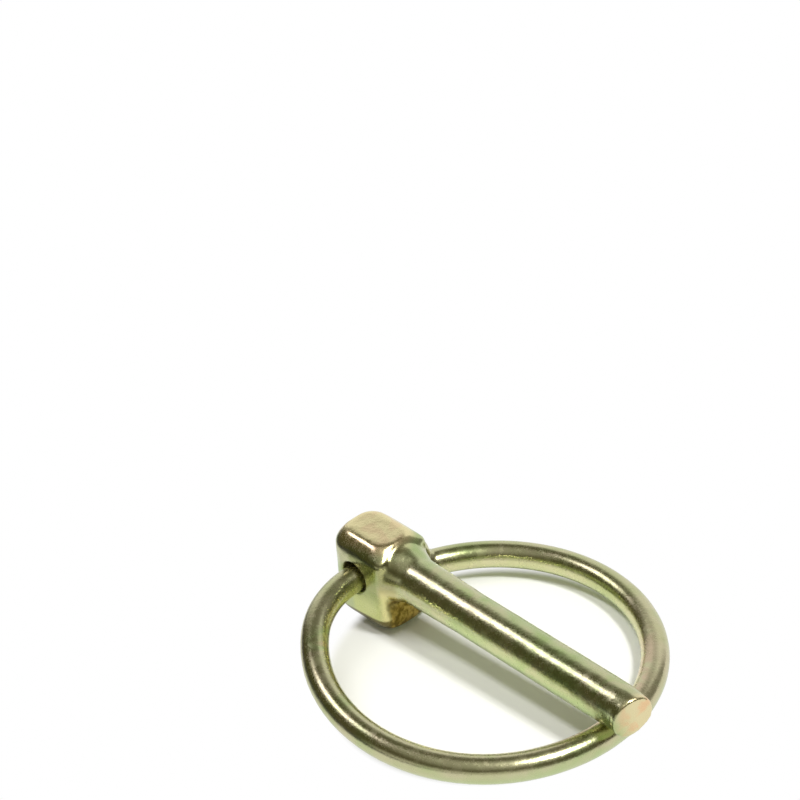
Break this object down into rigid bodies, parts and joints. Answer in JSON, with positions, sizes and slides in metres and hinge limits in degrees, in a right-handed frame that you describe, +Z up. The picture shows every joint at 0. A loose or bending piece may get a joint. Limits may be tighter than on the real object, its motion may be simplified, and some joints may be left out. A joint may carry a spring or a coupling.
{
  "type": "lynch pin",
  "caption": "Zinc-plated lynch pin: a short forged steel pin whose head carries a sprung wire ring that swings over the shank to lock it in a shaft's cross hole.",
  "frame": {"origin": "on the ground, under the middle of the part's length and width as it lies at rest", "axes": "+X from the head towards the pin's tip, +Y across the shank along the ring's hinge, +Z up; the shank's axis dips 2.7 degrees towards the tip"},
  "size_m": [0.052, 0.0466, 0.0137],
  "materials": {
    "plated_forging": "yellow-chromated zinc plating over a forged surface",
    "plated_wire": "yellow-chromated zinc plating over drawn spring wire"
  },
  "bodies": {
    "pin": {"pin": "plated_forging"},
    "ring": {"ring": "plated_wire"}
  },
  "joints": [
    {"name": "ring_swing", "type": "hinge", "parent": "pin", "child": "ring", "pos_m": [-0.02086, 0, 0.0074], "axis": [0, 1, 0], "range_deg": [0, 180]}
  ]
}
